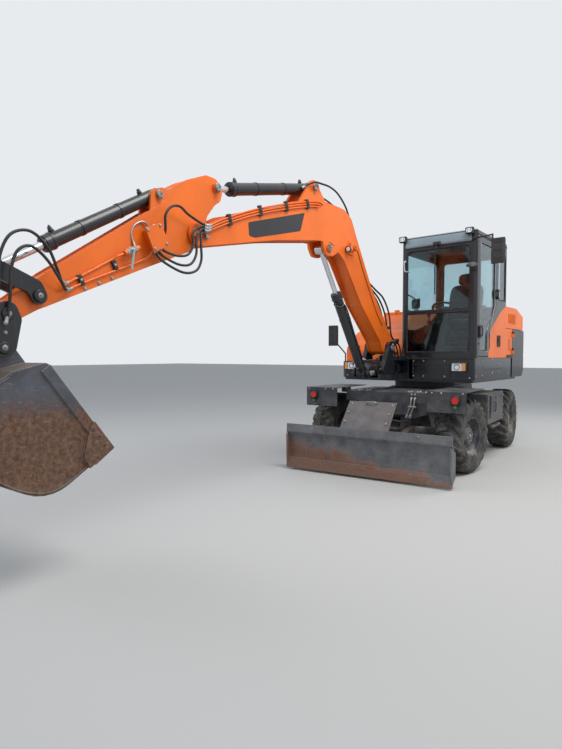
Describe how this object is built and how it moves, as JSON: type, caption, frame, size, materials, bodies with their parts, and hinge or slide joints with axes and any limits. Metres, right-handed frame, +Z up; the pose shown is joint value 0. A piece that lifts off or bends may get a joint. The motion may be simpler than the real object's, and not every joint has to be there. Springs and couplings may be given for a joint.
{
  "type": "wheeled excavator",
  "caption": "Compact wheeled excavator: closed cab on a slewing upper, swing boom with arm, coupler and bucket on cylinders, dozer blade and steered front axle.",
  "frame": {"origin": "on the ground under the middle of the machine's length and width at rest", "axes": "+Z up, -Y the way the machine drives forward, +X its left, cab side"},
  "size_m": [2.3396, 7.5802, 3.0577],
  "materials": {
    "orange_paint": "gloss",
    "dark_paint": "satin",
    "black_paint": "satin",
    "chrome": "polished",
    "worn_steel": "matte",
    "tyre_rubber": "matte",
    "rim_paint": "satin",
    "glass": "polished",
    "black_plastic": "matte",
    "seat_fabric": "matte",
    "red_lens": "gloss",
    "clear_lens": "gloss",
    "iron": "satin"
  },
  "bodies": {
    "chassis": {"chassis_frame": "dark_paint", "front_axle": "dark_paint", "rear_axle": "dark_paint", "drive_gearbox": "iron", "front_fenders": "black_plastic", "fender_lamps": "red_lens", "side_steps": "dark_paint", "swing_bearing": "black_paint"},
    "front_left_hub": {"front_left_knuckle": "dark_paint"},
    "front_right_hub": {"front_right_knuckle": "dark_paint"},
    "front_left_wheel": {"front_left_tyre": "tyre_rubber", "front_left_rim": "rim_paint"},
    "front_right_wheel": {"front_right_tyre": "tyre_rubber", "front_right_rim": "rim_paint"},
    "rear_left_wheel": {"rear_left_tyre": "tyre_rubber", "rear_left_rim": "rim_paint"},
    "rear_right_wheel": {"rear_right_tyre": "tyre_rubber", "rear_right_rim": "rim_paint"},
    "blade": {"blade": "worn_steel"},
    "blade_barrel": {"blade_barrel": "black_paint"},
    "blade_rod": {"blade_rod": "chrome"},
    "upper": {"upper_frame": "dark_paint", "counterweight": "iron", "engine_block": "iron", "lower_covers": "dark_paint", "cab_frame": "dark_paint", "cab_roof": "dark_paint", "cab_floor": "black_plastic", "cab_glass": "glass", "operator_seat": "seat_fabric", "control_consoles": "black_plastic", "steering_column": "black_plastic", "head_lamps": "clear_lens", "mirrors": "black_plastic", "right_cover": "orange_paint", "work_lamps": "black_plastic"},
    "cab_door": {"cab_door": "dark_paint", "door_glass": "glass"},
    "engine_hood": {"engine_hood": "orange_paint"},
    "left_side_door": {"left_side_door": "orange_paint"},
    "right_side_door": {"right_side_door": "orange_paint"},
    "swing_post": {"swing_post": "iron"},
    "swing_barrel": {"swing_barrel": "black_paint"},
    "swing_rod": {"swing_rod": "chrome"},
    "boom": {"boom": "orange_paint", "boom_lamp": "orange_paint"},
    "boom_barrel": {"boom_barrel": "black_paint"},
    "boom_rod": {"boom_rod": "chrome"},
    "arm": {"arm": "orange_paint", "arm_valves": "orange_paint"},
    "arm_barrel": {"arm_barrel": "black_paint"},
    "arm_rod": {"arm_rod": "chrome"},
    "bucket_barrel": {"bucket_barrel": "black_paint"},
    "bucket_rod": {"bucket_rod": "chrome"},
    "rocker_links": {"rocker_links": "black_paint"},
    "bucket_link": {"bucket_link": "black_paint"},
    "bucket": {"quick_coupler": "black_paint", "bucket": "worn_steel"}
  },
  "joints": [
    {"name": "steering", "type": "hinge", "parent": "chassis", "child": "front_right_hub", "pos_m": [-0.621, 1.09, 0.421], "axis": [0, 0, 1], "range_deg": [-17, 37]},
    {"name": "steering_left", "type": "hinge", "parent": "chassis", "child": "front_left_hub", "pos_m": [0.579, 1.09, 0.421], "axis": [0, 0, 1], "range_deg": [-17.2, 37.2]},
    {"name": "front_left_wheel", "type": "hinge", "parent": "front_left_hub", "child": "front_left_wheel", "pos_m": [0.77596, 1.05527, 0.421], "axis": [0.9848, -0.1736, 0], "continuous": true},
    {"name": "front_right_wheel", "type": "hinge", "parent": "front_right_hub", "child": "front_right_wheel", "pos_m": [-0.81796, 1.12473, 0.421], "axis": [0.9848, -0.1736, 0], "continuous": true},
    {"name": "rear_left_wheel", "type": "hinge", "parent": "chassis", "child": "rear_left_wheel", "pos_m": [0.779, 3.19, 0.421], "axis": [1, 0, 0], "continuous": true},
    {"name": "rear_right_wheel", "type": "hinge", "parent": "chassis", "child": "rear_right_wheel", "pos_m": [-0.821, 3.19, 0.421], "axis": [1, 0, 0], "continuous": true},
    {"name": "blade_lift", "type": "hinge", "parent": "chassis", "child": "blade", "pos_m": [-0.021, 0.81, 0.47], "axis": [-1, 0, 0], "range_deg": [-10, 28]},
    {"name": "blade_barrel_tilt", "type": "hinge", "parent": "chassis", "child": "blade_barrel", "pos_m": [-0.021, 0.665, 0.7], "axis": [-1, 0, 0], "range_deg": [-10.35, 28.62]},
    {"name": "blade_rod_slide", "type": "slide", "parent": "blade_barrel", "child": "blade_rod", "axis": [0, -0.7703, -0.6376], "range_m": [-0.13086, 0.04706]},
    {"name": "upper_swing", "type": "hinge", "parent": "chassis", "child": "upper", "pos_m": [-0.021, 2.14, 1], "axis": [0, 0, 1], "continuous": true},
    {"name": "cab_door", "type": "hinge", "parent": "upper", "child": "cab_door", "pos_m": [0.93038, 2.10867, 2], "axis": [0, 0, 1], "range_deg": [0, 160]},
    {"name": "engine_hood", "type": "hinge", "parent": "upper", "child": "engine_hood", "pos_m": [0.03076, 2.67751, 2.01], "axis": [0.9954, -0.0958, 0], "range_deg": [0, 50]},
    {"name": "left_side_door", "type": "hinge", "parent": "upper", "child": "left_side_door", "pos_m": [0.98936, 2.84641, 1.5], "axis": [0, 0, 1], "range_deg": [0, 75]},
    {"name": "right_side_door", "type": "hinge", "parent": "upper", "child": "right_side_door", "pos_m": [-0.87801, 3.02622, 1.5], "axis": [0, 0, -1], "range_deg": [0, 75]},
    {"name": "boom_swing", "type": "hinge", "parent": "upper", "child": "swing_post", "pos_m": [-0.21757, 1.20453, 1.2], "axis": [0, 0, 1], "range_deg": [-54, 75]},
    {"name": "swing_barrel_tilt", "type": "hinge", "parent": "upper", "child": "swing_barrel", "pos_m": [-0.38126, 2.1546, 1.2], "axis": [0, 0, 1], "range_deg": [-1.8, 2.42]},
    {"name": "swing_rod_slide", "type": "slide", "parent": "swing_barrel", "child": "swing_rod", "axis": [-0.0701, -0.9975, 0], "range_m": [-0.17792, 0.24691]},
    {"name": "boom", "type": "hinge", "parent": "swing_post", "child": "boom", "pos_m": [-0.23146, 1.0602, 1.42], "axis": [-0.9954, 0.0958, 0], "range_deg": [-55, 42]},
    {"name": "boom_barrel_tilt", "type": "hinge", "parent": "swing_post", "child": "boom_barrel", "pos_m": [-0.27124, 0.64711, 1.12], "axis": [-0.9954, 0.0958, 0], "range_deg": [-56.52, 43.21]},
    {"name": "boom_rod_slide", "type": "slide", "parent": "boom_barrel", "child": "boom_rod", "axis": [-0.0534, -0.555, 0.8301], "range_m": [-0.42809, 0.32702]},
    {"name": "arm", "type": "hinge", "parent": "boom", "child": "arm", "pos_m": [-0.53124, -2.05307, 2.25806], "axis": [-0.9954, 0.0958, 0], "range_deg": [-100, 18]},
    {"name": "arm_barrel_tilt", "type": "hinge", "parent": "boom", "child": "arm_barrel", "pos_m": [-0.37949, -0.47711, 2.99333], "axis": [-0.9954, 0.0958, 0], "range_deg": [-0.43, 1.5]},
    {"name": "arm_rod_slide", "type": "slide", "parent": "arm_barrel", "child": "arm_rod", "axis": [-0.0932, -0.9676, -0.2346], "range_m": [-0.12848, 0.71149]},
    {"name": "bucket", "type": "hinge", "parent": "arm", "child": "bucket", "pos_m": [-0.66907, -3.48452, 1.55666], "axis": [-0.9954, 0.0958, 0], "range_deg": [-50, 110]},
    {"name": "rocker", "type": "hinge", "parent": "arm", "child": "rocker_links", "pos_m": [-0.65001, -3.28658, 1.6759], "axis": [-0.9954, 0.0958, 0], "range_deg": [-34.18, 74.96]},
    {"name": "bucket_link", "type": "hinge", "parent": "rocker_links", "child": "bucket_link", "pos_m": [-0.67786, -3.57578, 1.78342], "axis": [-0.9954, 0.0958, 0], "range_deg": [-29.48, 13.51]},
    {"name": "bucket_barrel_tilt", "type": "hinge", "parent": "arm", "child": "bucket_barrel", "pos_m": [-0.56214, -2.37399, 2.49022], "axis": [-0.9954, 0.0958, 0], "range_deg": [-2.97, 6.29]},
    {"name": "bucket_rod_slide", "type": "slide", "parent": "bucket_barrel", "child": "bucket_rod", "axis": [-0.0827, -0.859, -0.5052], "range_m": [-0.34302, 0.15619]}
  ],
  "couplings": [
    {"joint": "steering_left", "follows": "steering", "ratio": 1},
    {"joint": "blade_barrel_tilt", "follows": "blade_lift", "ratio": 1.0151},
    {"joint": "blade_rod_slide", "follows": "blade_lift", "m_per_rad": -0.26675},
    {"joint": "swing_barrel_tilt", "follows": "boom_swing", "ratio": 0.029552},
    {"joint": "swing_rod_slide", "follows": "boom_swing", "m_per_rad": 0.18825},
    {"joint": "boom_barrel_tilt", "follows": "boom", "ratio": 1.024},
    {"joint": "boom_rod_slide", "follows": "boom", "m_per_rad": 0.44544},
    {"joint": "arm_barrel_tilt", "follows": "arm", "ratio": -0.013048},
    {"joint": "arm_rod_slide", "follows": "arm", "m_per_rad": -0.40737},
    {"joint": "rocker", "follows": "bucket", "ratio": 0.67965},
    {"joint": "bucket_link", "follows": "bucket", "ratio": -0.2662},
    {"joint": "bucket_barrel_tilt", "follows": "bucket", "ratio": 0.055401},
    {"joint": "bucket_rod_slide", "follows": "bucket", "m_per_rad": -0.17841}
  ]
}
